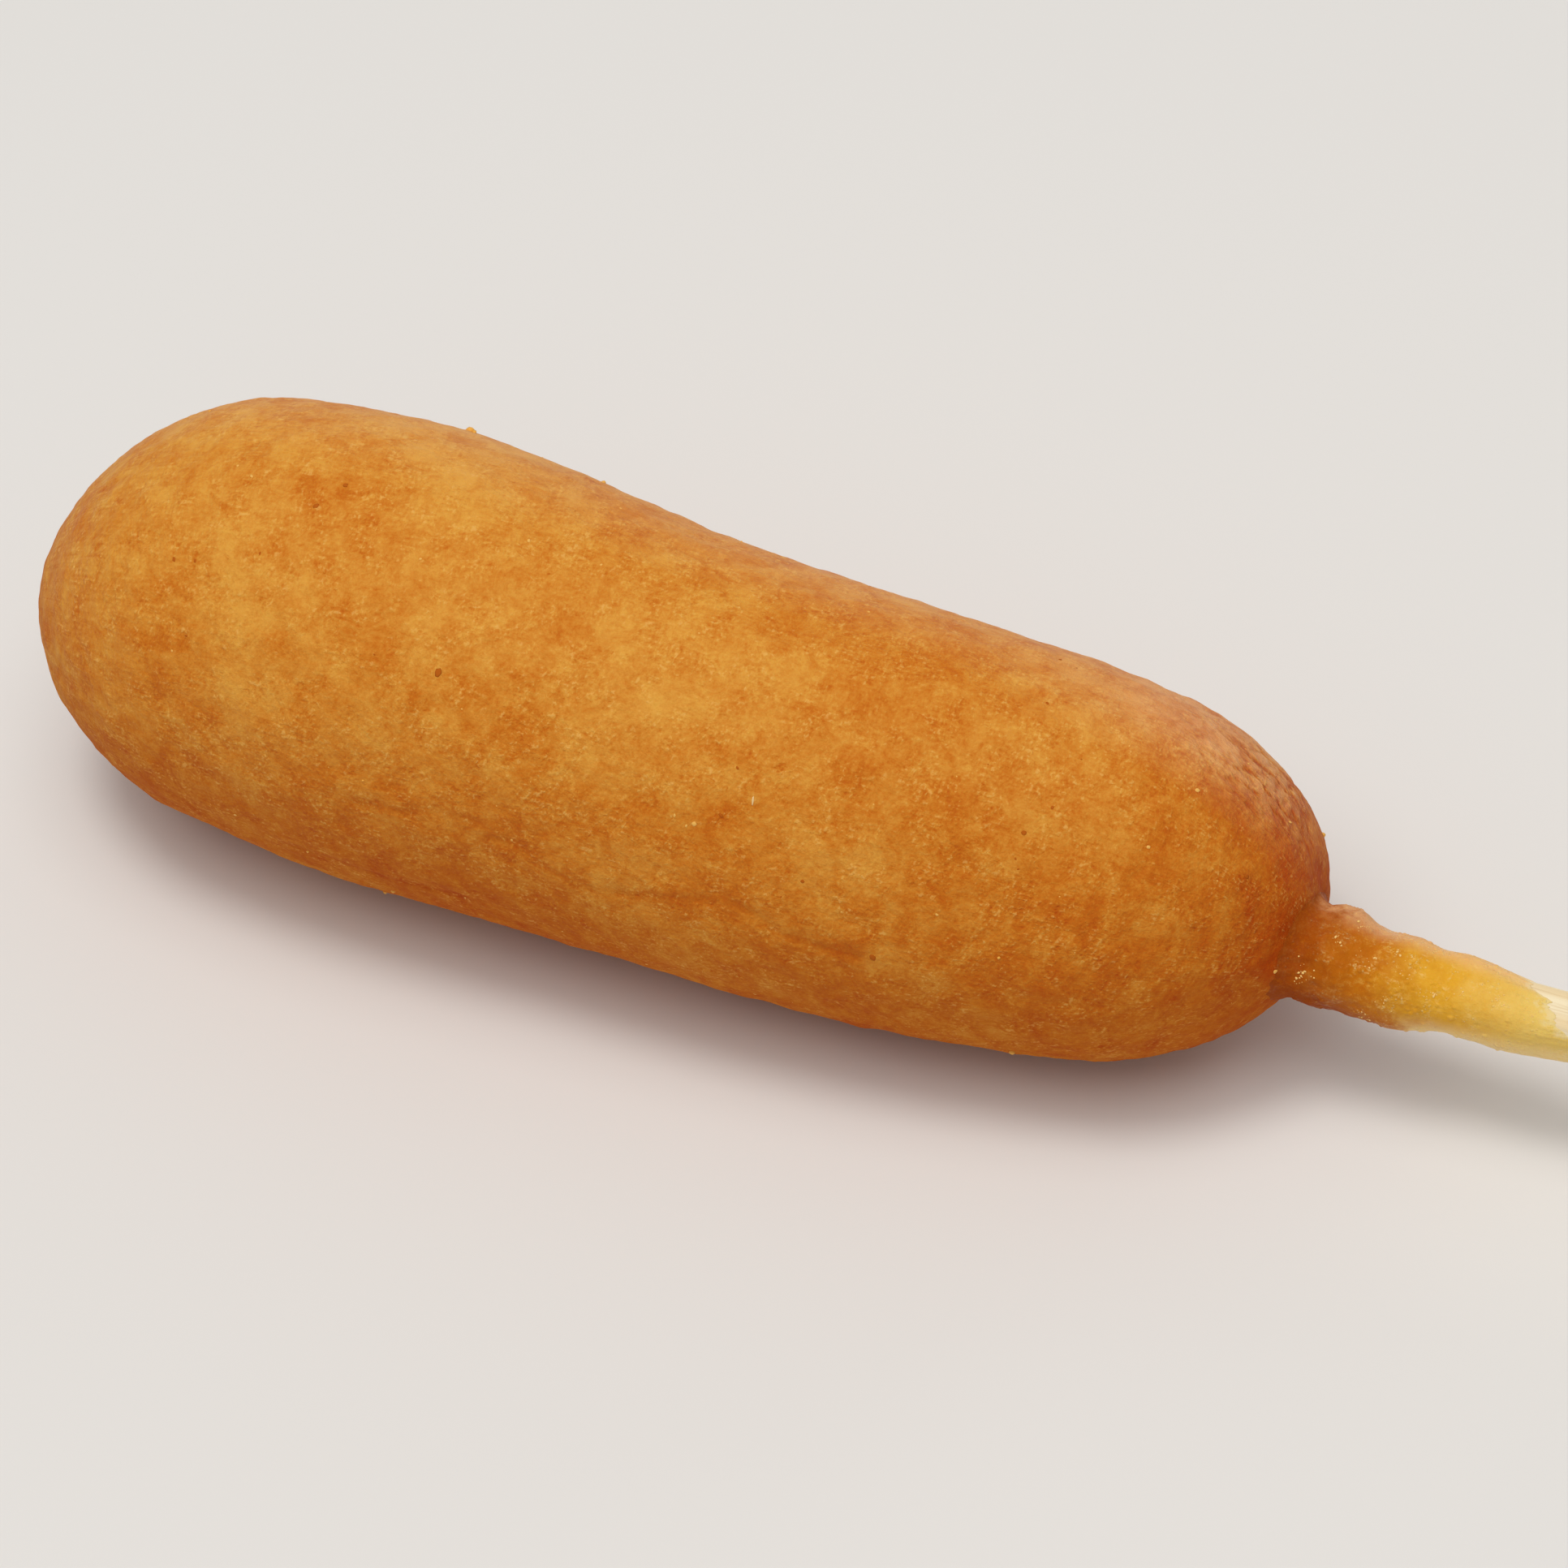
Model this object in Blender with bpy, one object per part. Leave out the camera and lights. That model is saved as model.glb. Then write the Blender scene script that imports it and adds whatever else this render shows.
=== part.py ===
"""Corn dog: a sausage fried in corn batter on a wooden stick, lying on its side.

+X runs from the batter's rounded tip to the free end of the stick, and +Z is up.
The origin is the middle of the whole object's box, on the surface that it lies on.
Each solid is a loft: rings of points round an axis, joined up and closed at both ends.
"""

import math

import bpy
import numpy as np

MM = 0.001

# ---- Batter body: a blunt, tapering sausage shape, fattest a quarter of the way from its tip ----
BODY_LENGTH = 128.0 * MM
TIP_CAP_LENGTH = 21.8 * MM  # the rounded end, tip to full girth
TIP_CAP_POWER = 1.92  # 2 is an ellipse, more is blunter
NECK_CAP_LENGTH = 22.8 * MM
NECK_CAP_POWER = 2.2
BODY_RINGS = 46
# Along the body, tip to neck: share of its length, radius, sideways place and height of its middle.
BODY_STATIONS_MM = (
    (0.00, 19.4, 0.4, 19.3),
    (0.12, 20.1, 1.0, 20.3),
    (0.25, 21.6, 0.5, 21.4),
    (0.40, 20.9, -0.5, 21.2),
    (0.55, 19.9, -1.1, 20.0),
    (0.70, 19.2, -0.8, 19.1),
    (0.85, 17.8, 0.3, 17.7),
    (1.00, 16.2, -0.2, 15.8),
)
NECK_END_LEAN = (0.18, 0.12)  # how far the neck end leans on along X, per metre sideways and upwards
LEANING_LENGTH = 40.0 * MM  # from the neck end to where the lean has died away
PRESSED_FLAT = 0.45 * MM  # how much of the round underside is flattened where the body lies
UNEVENNESS = 0.3 * MM  # how far the fried crust swells and dips
UNEVEN_WAVES_ROUND = (2, 3, 4, 5)
UNEVEN_WAVES_ALONG = (1, 2, 3, 4, 5, 6)
BODY_SEED = 3

# ---- Wooden stick: rounded square, run well into the body ----
STICK_THICKNESS = 4.8 * MM
STICK_SQUARENESS = 4.6  # power of its superellipse outline
STICK_LENGTH = 140.0 * MM
STICK_BARE_END = 62.0 * MM  # from the body's end to the stick's free end
STICK_HEIGHT = 15.4 * MM  # of its axis, where it leaves the body
STICK_SIDE = -0.3 * MM
STICK_YAW_DEG = 1.0
STICK_PITCH_DEG = -0.9
STICK_EASED_EDGE = 0.5 * MM
EASED_CORNER = 0.3  # share of the eased edge at the free end, where its slope changes
SOCKET_GAP = 0.3 * MM  # between the stick and the batter round it

# ---- Batter neck: a collar at the body, a second ring, then a thin film that ends unevenly ----
# Distance from the body's end, and half the neck's width there.
NECK_STATIONS_MM = (
    (0.0, 4.5),
    (1.2, 4.6),
    (3.4, 4.6),
    (5.2, 4.3),
    (6.8, 4.05),
    (8.6, 4.2),
    (9.8, 4.05),
    (11.5, 3.65),
    (14.0, 3.4),
    (18.0, 3.25),
    (22.0, 3.15),
    (24.0, 3.0),
)
NECK_RINGS = 22
NECK_LENGTH = 24.0 * MM
FILM_SLANT = 3.2 * MM  # the film runs this much further under the front of the stick, and less behind
FILM_LONGEST_AT = math.radians(215)
FILM_RAGGEDNESS = 0.45 * MM
FILM_WAVES_ROUND = (5, 9)
FILM_FINE_SHARE = 0.7  # of the finer wave, beside the coarser one
FILM_RUN_POWER = 1.5  # the slant and the ragged edge grow this fast along the film
NECK_LEAN = 0.35 * MM  # the collar bulges up at the back, the second ring down at the front
NECK_LEANS_AT = math.radians(60)
NECK_LEAN_WAVE = 11.0 * MM
NECK_LEAN_FADING = 4  # power of the bell curve that ends the leaning
NECK_UNEVENNESS = 0.22 * MM
NECK_SWELLS = 4  # runs through the swells this many times as fast as the body does
NECK_SEED = 8
ROUND_POWER = 2.0  # the collar is round, and the film takes the stick's shape
FILM_POWER = 3.3
FILM_STARTS = 6.0 * MM
THINNEST_FILM = 0.3 * MM
FILM_RIM_THINNING = 0.5  # share of that thickness lost at the very rim
FILM_RIM_POWER = 6

# ---- Materials and mesh ----
BATTER_COLOUR = (0.56, 0.23, 0.045)
BATTER_ROUGHNESS = 0.55
WOOD_COLOUR = (0.80, 0.66, 0.42)
WOOD_ROUGHNESS = 0.6
SHARP_EDGE = math.radians(45)
ROUND_STEPS = 48
ANGLES = np.arange(ROUND_STEPS) * 2 * math.pi / ROUND_STEPS  # from +Y towards +Z


def natural_spline(knots, values, at):
    """The smooth curve through values at knots, straight at both ends, read at the points at."""
    knots, values = np.asarray(knots, float), np.asarray(values, float)
    gaps = np.diff(knots)
    slopes = np.diff(values) / gaps
    count = len(knots)
    system = np.eye(count)
    bends = np.zeros(count)
    for i in range(1, count - 1):
        system[i, i - 1 : i + 2] = gaps[i - 1], 2 * (gaps[i - 1] + gaps[i]), gaps[i]
        bends[i] = 6 * (slopes[i] - slopes[i - 1])
    bends = np.linalg.solve(system, bends)
    piece = np.clip(np.searchsorted(knots, at) - 1, 0, count - 2)
    left, right = at - knots[piece], knots[piece + 1] - at
    gap = gaps[piece]
    curved = (bends[piece] * right**3 + bends[piece + 1] * left**3) / (6 * gap)
    straight_left = (values[piece] / gap - bends[piece] * gap / 6) * right
    straight_right = (values[piece + 1] / gap - bends[piece + 1] * gap / 6) * left
    return curved + straight_left + straight_right


def superellipse(half_width, power):
    """Distance from the middle to a rounded square's outline, at each of ANGLES."""
    across = np.abs(np.cos(ANGLES)) ** power + np.abs(np.sin(ANGLES)) ** power
    return half_width / across ** (1 / power)


def cap_share(distance, length, power):
    """Share of the full girth at a distance in from a rounded end: 0 at the end, 1 from length on."""
    left = np.clip(1 - distance / length, 0, 1)
    return (1 - left**power) ** (1 / power)


def swells(length_share, seed):
    """Gentle uneven swelling, about -1 to 1, at each of ANGLES for one place along the body."""
    random = np.random.default_rng(seed)
    total = np.zeros(ROUND_STEPS)
    for around in UNEVEN_WAVES_ROUND:
        for along in UNEVEN_WAVES_ALONG:
            phase_round, phase_along = random.uniform(0, 2 * math.pi, 2)
            size = 1.0 / (around + along)
            wave = np.cos(around * ANGLES + phase_round)
            total += size * wave * math.cos(along * math.pi * length_share + phase_along)
    return total


def stick_frame():
    """Where the stick leaves the body, the way it runs, and its own sideways and up directions."""
    yaw, pitch = math.radians(STICK_YAW_DEG), math.radians(STICK_PITCH_DEG)
    along = np.array([math.cos(pitch) * math.cos(yaw), math.cos(pitch) * math.sin(yaw), math.sin(pitch)])
    side = np.array([-math.sin(yaw), math.cos(yaw), 0.0])
    return np.array([BODY_LENGTH, STICK_SIDE, STICK_HEIGHT]), along, side, np.cross(along, side)


def ring(centre, radii, side, up):
    """One ring of points round centre."""
    spokes = np.cos(ANGLES)[:, None] * side + np.sin(ANGLES)[:, None] * up
    return np.asarray(centre) + np.asarray(radii)[:, None] * spokes


def body_rings():
    """Rings from the tip to where the rounded end has shrunk to the neck's girth."""
    share, radius, side_place, height = np.array(BODY_STATIONS_MM).T
    neck_half_width = NECK_STATIONS_MM[0][1] * MM
    neck_girth_share = neck_half_width / (radius[-1] * MM)
    end_gap = 1 - (1 - neck_girth_share**NECK_CAP_POWER) ** (1 / NECK_CAP_POWER)
    last = 1 - end_gap * NECK_CAP_LENGTH / BODY_LENGTH
    steps = np.arange(1, BODY_RINGS + 1) / BODY_RINGS
    places = last * (1 - np.cos(math.pi * steps)) / 2  # close together at both ends
    rings = []
    for place in places:
        distance = place * BODY_LENGTH
        girth = cap_share(distance, TIP_CAP_LENGTH, TIP_CAP_POWER)
        girth *= cap_share(BODY_LENGTH - distance, NECK_CAP_LENGTH, NECK_CAP_POWER)
        full = natural_spline(share, radius, place) * MM
        radii = girth * (full + UNEVENNESS * swells(place, BODY_SEED))
        across = natural_spline(share, side_place, place) * MM
        middle = (distance, across, natural_spline(share, height, place) * MM)
        side, up = np.eye(3)[1:]
        side[0], up[0] = max(0, 1 - (BODY_LENGTH - distance) / LEANING_LENGTH) * np.array(NECK_END_LEAN)
        rings.append(ring(middle, radii, side, up))
    return rings


def neck_rings():
    """Rings of the collar and the film, along the stick."""
    start, along, side, up = stick_frame()
    distance, half_width = np.array(NECK_STATIONS_MM).T * MM
    socket = superellipse(STICK_THICKNESS / 2, STICK_SQUARENESS) + SOCKET_GAP
    slant = FILM_SLANT * np.cos(ANGLES - FILM_LONGEST_AT)
    coarse, fine = FILM_WAVES_ROUND
    ragged = FILM_RAGGEDNESS * (np.sin(coarse * ANGLES) + FILM_FINE_SHARE * np.sin(fine * ANGLES + 1))
    rings = []
    for step in range(1, NECK_RINGS + 1):
        place = NECK_LENGTH * step / NECK_RINGS
        film = np.clip((place - FILM_STARTS) / (NECK_LENGTH - FILM_STARTS), 0, 1)
        power = ROUND_POWER + (FILM_POWER - ROUND_POWER) * film
        radii = superellipse(natural_spline(distance, half_width, place), power)
        fading = math.exp(-((place / NECK_LEAN_WAVE) ** NECK_LEAN_FADING))
        lean = math.sin(2 * math.pi * place / NECK_LEAN_WAVE) * fading
        radii += NECK_LEAN * lean * np.cos(ANGLES - NECK_LEANS_AT)
        radii += NECK_UNEVENNESS * (1 - film) * swells(place / NECK_LENGTH * NECK_SWELLS, NECK_SEED)
        radii = np.maximum(radii, socket + THINNEST_FILM * (1 - FILM_RIM_THINNING * film**FILM_RIM_POWER))
        shift = (slant + ragged) * film**FILM_RUN_POWER
        rings.append(ring(start + along * place, radii, side, up) + shift[:, None] * along)
    return rings


def socket_rings(rim):
    """The hole for the stick, from the film's rim down to its blind end in the body."""
    start, along, side, up = stick_frame()
    radii = superellipse(STICK_THICKNESS / 2, STICK_SQUARENESS) + SOCKET_GAP
    mouth = ring(start, radii, side, up)
    reach = (rim - mouth) @ along  # each spoke's mouth lies under its own ragged rim
    depth = STICK_LENGTH - STICK_BARE_END + SOCKET_GAP
    return [mouth + reach[:, None] * along, mouth, mouth - depth * along]


def stick_rings():
    """The stick's outline at both ends, with the edges eased."""
    start, along, side, up = stick_frame()
    half = STICK_THICKNESS / 2
    first, last = STICK_BARE_END - STICK_LENGTH, STICK_BARE_END
    places = (
        (first, half - STICK_EASED_EDGE),
        (first + STICK_EASED_EDGE, half),
        (last - STICK_EASED_EDGE, half),
        (last - EASED_CORNER * STICK_EASED_EDGE, half - EASED_CORNER * STICK_EASED_EDGE),
        (last, half - STICK_EASED_EDGE),
    )
    return [ring(start + along * at, superellipse(width, STICK_SQUARENESS), side, up) for at, width in places]


def loft(name, first_point, rings, last_point, material):
    """One closed solid through the rings, with a fan of triangles at each end."""
    points = [first_point, *(point for each in rings for point in each), last_point]
    faces = []
    for i in range(ROUND_STEPS):
        after = (i + 1) % ROUND_STEPS
        faces.append((0, 1 + after, 1 + i))
        for level in range(len(rings) - 1):
            here, beyond = 1 + level * ROUND_STEPS, 1 + (level + 1) * ROUND_STEPS
            faces.append((here + i, here + after, beyond + after, beyond + i))
        end_ring = 1 + (len(rings) - 1) * ROUND_STEPS
        faces.append((end_ring + i, end_ring + after, len(points) - 1))
    mesh = bpy.data.meshes.new(name)
    mesh.from_pydata([tuple(map(float, point)) for point in points], [], faces)
    mesh.materials.append(material)
    mesh.shade_smooth()
    mesh.set_sharp_from_angle(angle=SHARP_EDGE)
    obj = bpy.data.objects.new(name, mesh)
    bpy.context.scene.collection.objects.link(obj)
    return obj


def principled(name, colour, roughness):
    """A plain food or wood material."""
    material = bpy.data.materials.new(name)
    material.use_nodes = True
    shader = material.node_tree.nodes["Principled BSDF"]
    shader.inputs["Base Color"].default_value = (*colour, 1)
    shader.inputs["Roughness"].default_value = roughness
    shader.inputs["Metallic"].default_value = 0.0
    return material


def make_batter():
    """Body, neck and socket as one solid, with its underside pressed flat where it rests."""
    outside = body_rings() + neck_rings()
    rings = outside + socket_rings(outside[-1])
    for points in rings:
        points[:, 2] = np.maximum(points[:, 2], PRESSED_FLAT)
    share, _, side_place, height = np.array(BODY_STATIONS_MM)[0]
    tip = (share, side_place * MM, height * MM)
    crust = principled("fried_batter", BATTER_COLOUR, BATTER_ROUGHNESS)
    return loft("batter", tip, rings, rings[-1].mean(axis=0), crust)


def make_stick():
    rings = stick_rings()
    wood = principled("birch_wood", WOOD_COLOUR, WOOD_ROUGHNESS)
    return loft("stick", rings[0].mean(axis=0), rings, rings[-1].mean(axis=0), wood)


def centre_on_base(objects):
    """Moves the meshes so that the origin is the middle of their box, at its base."""
    points = np.array([vertex.co for obj in objects for vertex in obj.data.vertices])
    low, high = points.min(axis=0), points.max(axis=0)
    shift = np.array([(low[0] + high[0]) / 2, (low[1] + high[1]) / 2, low[2]])
    for obj in objects:
        for vertex in obj.data.vertices:
            vertex.co = [float(value) for value in np.array(vertex.co) - shift]


def main():
    for obj in list(bpy.data.objects):
        bpy.data.objects.remove(obj, do_unlink=True)
    centre_on_base([make_batter(), make_stick()])


main()
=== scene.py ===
"""The corn dog's looks: its fried crust, its batter neck and its wooden stick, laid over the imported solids.

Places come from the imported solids. Shapes here add what is finer than they are, and every finish is made of nodes.
"""

import math

import bmesh
import bpy
import numpy as np
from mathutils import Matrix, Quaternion, Vector, noise
from mathutils.bvhtree import BVHTree


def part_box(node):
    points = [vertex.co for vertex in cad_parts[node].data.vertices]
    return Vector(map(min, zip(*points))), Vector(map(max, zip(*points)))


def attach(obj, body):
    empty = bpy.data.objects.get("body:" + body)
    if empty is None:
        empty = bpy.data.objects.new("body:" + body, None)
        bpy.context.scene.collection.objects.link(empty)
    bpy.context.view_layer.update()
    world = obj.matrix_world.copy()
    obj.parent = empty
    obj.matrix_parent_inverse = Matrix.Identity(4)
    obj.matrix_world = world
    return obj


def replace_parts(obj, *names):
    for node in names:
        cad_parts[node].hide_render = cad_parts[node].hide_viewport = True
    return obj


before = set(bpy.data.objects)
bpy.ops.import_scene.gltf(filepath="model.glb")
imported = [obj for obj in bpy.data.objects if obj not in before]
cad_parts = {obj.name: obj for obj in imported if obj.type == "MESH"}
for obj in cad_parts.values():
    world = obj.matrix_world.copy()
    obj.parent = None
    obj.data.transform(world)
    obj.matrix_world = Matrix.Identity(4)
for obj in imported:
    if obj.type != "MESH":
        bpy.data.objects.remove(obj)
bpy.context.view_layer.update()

MM = 0.001

# ---- View ----
VIEW_AZIMUTH = math.radians(30.43)
VIEW_ELEVATION = math.radians(47.11)
VIEW_ROLL = math.radians(-7.67)
VIEW_AIM = Vector((-0.0267, 0.0139, 0.0))
VIEW_DISTANCE = 0.5706
LENS_MM = 136.8

# ---- Measures that the solids also have ----
BODY_LENGTH = 128.0 * MM
NECK_RADIUS = 4.5 * MM
STICK_HALF = 2.4 * MM
STICK_SQUARENESS = 4.6
STICK_EASED_EDGE = 0.5 * MM
FILM_LENGTH = 24.0 * MM
FILM_SLANT = 3.2 * MM
FILM_LONGEST_AT = math.radians(215)
FILM_RAGGEDNESS = 0.45 * MM

# ---- Crust mesh ----
CRUST_STEPS_ROUND = 316
CRUST_TIP_ROWS = 70
CRUST_MIDDLE_ROWS = 175
CRUST_NECK_ROWS = 65
CRUST_CELL = 0.45 * MM
END_RADIUS = 20.0 * MM  # of the body's rounded ends, about
REACH = 60 * MM  # rays start this far out
SHORTEST_RAY = 12 * MM  # a ray that ends nearer the middle has gone in through the neck
CRUST_SMOOTHING = 3.0 * MM  # rounds off the solid's facets

# ---- Neck mesh ----
NECK_STEPS_ROUND = 300
NECK_ROWS = 236
SKIRT_ROWS = 10  # under the crust, round the neck's foot
SKIRT_WIDTH = 1.4 * MM
SKIRT_SUNK = (0.06 * MM, 0.6 * MM)  # at the fillet and at the outer edge
FILLET_ROWS = 16  # from the crust up into the neck
FILLET_RADIUS = 1.1 * MM
NECK_SMOOTHING = 0.35 * MM
RIM_ROWS = 60  # over which the film thins out to its edge
RIM_THICKNESS = -0.03 * MM  # the film ends in the wood's grain
BUBBLES = 700
BUBBLE_RADII = (0.09 * MM, 0.34 * MM)

# ---- Creases in the crust: places as (millimetres along, degrees round) ----
CREASES = (
    ((-37.7, 171), (-35.1, 171), (-32.9, 175), (-30.7, 177), (-27.0, 179), (-21.6, 176), (-16.2, 173)),
    ((-51.5, 171), (-45.7, 170), (-44.1, 167), (-37.7, 168)),
    ((-13.5, 172), (-9.1, 178), (-2.0, 181)),
    ((-62.0, 196), (-51.0, 199), (-40.0, 197)),
    ((-8.0, 15), (3.0, 12), (12.0, 16)),
    ((-70.0, 352), (-58.0, 349)),
    ((-30.0, 8), (-17.0, 5)),
)
CREASE_DEPTH = 0.13 * MM
CREASE_WIDTH = 0.45 * MM

# ---- Specks: places as (millimetres along, degrees round, radius in mm) ----
BROWN_SPECKS = (
    (-44.3, 132, 0.40), (-60.0, 91, 0.24), (-61.6, 99, 0.30), (-73.4, 122, 0.26), (-0.5, 180, 0.34),
    (-15.7, 149, 0.26), (-71.1, 121, 0.22), (28.8, 123, 0.25),
)
CORN_SPECKS = (
    (-41.6, 90, 0.20), (-18.0, 153, 0.26), (-19.9, 152, 0.18), (23.0, 90, 0.24), (32.2, 212, 0.26),
    (32.0, 216, 0.24), (-69.4, 94, 0.22), (29.8, 47, 0.20), (21.1, 125, 0.20), (-18.7, 154, 0.14),
)
CRUMBS = ((-56.9, 39, 0.42), (-56.3, 40, 0.28), (-42.1, 42, 0.24), (10.3, 220, 0.30), (30.8, 349, 0.26))
BRISTLE = (-13.1, 143)
BRISTLE_SIZES = (0.40 * MM, 0.09 * MM, 0.08 * MM)
MORE_BROWN_SPECKS = 50
MORE_CORN_SPECKS = 110
MORE_CRUMBS = 14
BEAD_CLUSTERS = (
    (6.4, 116), (9.6, 122), (0.9, 158), (9.1, 93), (8.8, 162), (1.6, 150), (21.2, 126), (18.8, 118), (15.2, 126),
    (4.9, 70), (3.2, 105), (12.4, 140), (5.5, 250), (2.4, 330), (10.5, 20), (14.5, 290), (7.0, 200),
)
BEADS_IN_CLUSTER = 11
BEAD_RADII = (0.04 * MM, 0.15 * MM)

# ---- Stick mesh ----
STICK_STEPS_ROUND = 160
STICK_ROWS = 260
STICK_HIDDEN = 55.0 * MM  # this much of it gets only a few rows, deep in the body


# ---------------------------------------------------------------- measuring the solids


def end_middle(node, at_high_end):
    """The middle of a long node's end face, from the vertices within 1 mm of that end."""
    low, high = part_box(node)
    points = [vertex.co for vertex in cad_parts[node].data.vertices]
    chosen = np.array([p for p in points if (high[0] - p.x if at_high_end else p.x - low[0]) < 1 * MM])
    return Vector((chosen.min(axis=0) + chosen.max(axis=0)) / 2)


HIDDEN_END = end_middle("stick", False)
FREE_END = end_middle("stick", True)
ALONG = (FREE_END - HIDDEN_END).normalized()
SIDE = Vector((0, 0, 1)).cross(ALONG).normalized()
UP = ALONG.cross(SIDE)
TIP_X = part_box("batter")[0][0]
NECK_START = HIDDEN_END + ALONG * ((TIP_X + BODY_LENGTH - HIDDEN_END.x) / ALONG.x)


def turns(steps):
    """Angles once round, from the side towards the top."""
    return np.arange(steps) * 2 * math.pi / steps


def off_axis(point):
    """Distance of a point from the stick's axis."""
    out = point - NECK_START
    return (out - ALONG * out.dot(ALONG)).length


def outside(tree, centre, way):
    """Distance from centre to the solid's outside, looking in from far out along way."""
    hit = tree.ray_cast(centre + way * REACH, -way)
    return REACH - hit[3] if hit[0] else None


def blurred(rows, cells):
    """A field on rows of points, blurred along the rows and round them."""
    reach = int(3 * cells)
    weights = np.exp(-0.5 * (np.arange(-reach, reach + 1) / cells) ** 2)
    weights /= weights.sum()
    padded = np.concatenate([np.repeat(rows[:1], reach, 0), rows, np.repeat(rows[-1:], reach, 0)])
    along = sum(weight * padded[i : i + len(rows)] for i, weight in enumerate(weights))
    return sum(weight * np.roll(along, i - reach, axis=1) for i, weight in enumerate(weights))


# ---------------------------------------------------------------- mesh helpers


def normals_of(grid):
    """Outward normals of rows of points that close round."""
    round_way = np.roll(grid, -1, axis=1) - np.roll(grid, 1, axis=1)
    normals = np.cross(round_way, np.gradient(grid, axis=0))
    return normals / np.maximum(np.linalg.norm(normals, axis=2, keepdims=True), 1e-12)


def noise_field(points, sizes_and_heights):
    """Sums soft noise over an array of points: each pair is a feature size and a height."""
    flat = points.reshape(-1, 3)
    total = np.zeros(len(flat))
    for size, height in sizes_and_heights:
        shift = Vector((31.7, 11.3, 5.9)) * (1 + size / MM)
        total += height * np.array([noise.noise(Vector(p) / size + shift) for p in flat])
    return total.reshape(points.shape[:-1])


def tree_of(grid):
    """A search tree of the surface through rows of points."""
    faces = loft_faces(*grid.shape[:2], 0)
    return BVHTree.FromPolygons(grid.reshape(-1, 3).tolist(), faces)


def add_piece(name, points, faces, material):
    """A smooth-shaded mesh object that rides on the part."""
    mesh = bpy.data.meshes.new(name)
    mesh.from_pydata(points.tolist(), [], faces)
    mesh.materials.append(material)
    mesh.shade_smooth()
    piece = bpy.data.objects.new(name, mesh)
    bpy.context.scene.collection.objects.link(piece)
    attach(piece, "root")
    return piece


def loft_faces(rows, steps, first):
    """Quads between rows of points, whose numbers start at first."""
    here = first + np.arange((rows - 1) * steps).reshape(rows - 1, steps)
    after = np.roll(here, -1, axis=1)
    return np.stack([here, after, after + steps, here + steps], axis=2).reshape(-1, 4).tolist()


def closed_loft(name, grid, material):
    """A closed mesh through rows of points, with a fan at each end."""
    rows, steps = grid.shape[:2]
    points = np.concatenate([[grid[0].mean(axis=0)], grid.reshape(-1, 3), [grid[-1].mean(axis=0)]])
    ring = np.arange(steps)
    after = np.roll(ring, -1)
    base = 1 + (rows - 1) * steps
    start = np.stack([np.zeros(steps, int), 1 + after, 1 + ring], axis=1).tolist()
    end = np.stack([base + ring, base + after, np.full(steps, len(points) - 1)], axis=1).tolist()
    return add_piece(name, points, start + loft_faces(rows, steps, 1) + end, material)


# ---------------------------------------------------------------- shapes


def body_grid():
    """Rows of points on the solid body, from its tip to the crease round the neck."""
    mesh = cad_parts["batter"].data
    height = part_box("batter")[1][2] / 2
    kept = [
        list(face.vertices)
        for face in mesh.polygons
        if face.center.x < NECK_START.x - 0.1 * MM and off_axis(face.center) > 3.6 * MM
    ]
    tree = BVHTree.FromPolygons([vertex.co for vertex in mesh.vertices], kept)
    tip_centre = Vector((TIP_X + END_RADIUS, 0, height))
    neck_centre = Vector((TIP_X + BODY_LENGTH - 0.8 * END_RADIUS, 0, height - 3.5 * MM))
    angles = turns(CRUST_STEPS_ROUND)
    radial = [Vector((0, math.cos(a), math.sin(a))) for a in angles]
    crease = [NECK_START + NECK_RADIUS * (math.cos(a) * SIDE + math.sin(a) * UP) for a in angles]
    rows = []
    for k in range(1, CRUST_TIP_ROWS + 1):
        bend = math.pi / 2 * k / (CRUST_TIP_ROWS + 1)
        rows.append([(tip_centre, Vector((-math.cos(bend), 0, 0)) + r * math.sin(bend)) for r in radial])
    for k in range(CRUST_MIDDLE_ROWS):
        rows.append([(tip_centre.lerp(neck_centre, k / CRUST_MIDDLE_ROWS), r) for r in radial])
    for k in range(CRUST_NECK_ROWS + 1):
        share = k / CRUST_NECK_ROWS
        ways = [r.slerp((edge - neck_centre).normalized(), share) for r, edge in zip(radial, crease)]
        rows.append([(neck_centre, way) for way in ways])
    lengths = []
    for row in rows:
        found = [outside(tree, centre, way) or 0 for centre, way in row]
        lengths.append([d if d > SHORTEST_RAY else (edge - neck_centre).length for d, edge in zip(found, crease)])
    lengths = blurred(np.array(lengths), CRUST_SMOOTHING / CRUST_CELL)
    centres = np.array([[centre[:] for centre, _ in row] for row in rows])
    ways = np.array([[way[:] for _, way in row] for row in rows])
    return centres + ways * lengths[:, :, None]


def place_on(tree, along, round_way):
    """The point and the normal on the body, at millimetres along it and degrees round it."""
    middle = Vector((along * MM, 0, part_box("batter")[1][2] / 2))
    way = Vector((0, math.cos(math.radians(round_way)), math.sin(math.radians(round_way))))
    hit = tree.ray_cast(middle + way * REACH, -way)
    return hit[0], hit[1]


def crease_share(grid):
    """1 in the middle of a crease, 0 away from it, for each point of the crust."""
    tree = tree_of(grid)
    nearest = np.full(grid.shape[:2], 1.0)
    for crease in CREASES:
        points = [np.array(place_on(tree, *place)[0]) for place in crease]
        for first, second in zip(points, points[1:]):
            step = second - first
            share = np.clip((grid - first) @ step / (step @ step), 0, 1)
            away = np.linalg.norm(grid - first - share[..., None] * step, axis=2)
            nearest = np.minimum(nearest, away)
    wander = 1 + 0.8 * noise_field(grid, ((1.5 * MM, 1.0),))
    return np.exp(-((nearest / CREASE_WIDTH) ** 2)) * np.clip(wander, 0, 1.5)


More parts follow.
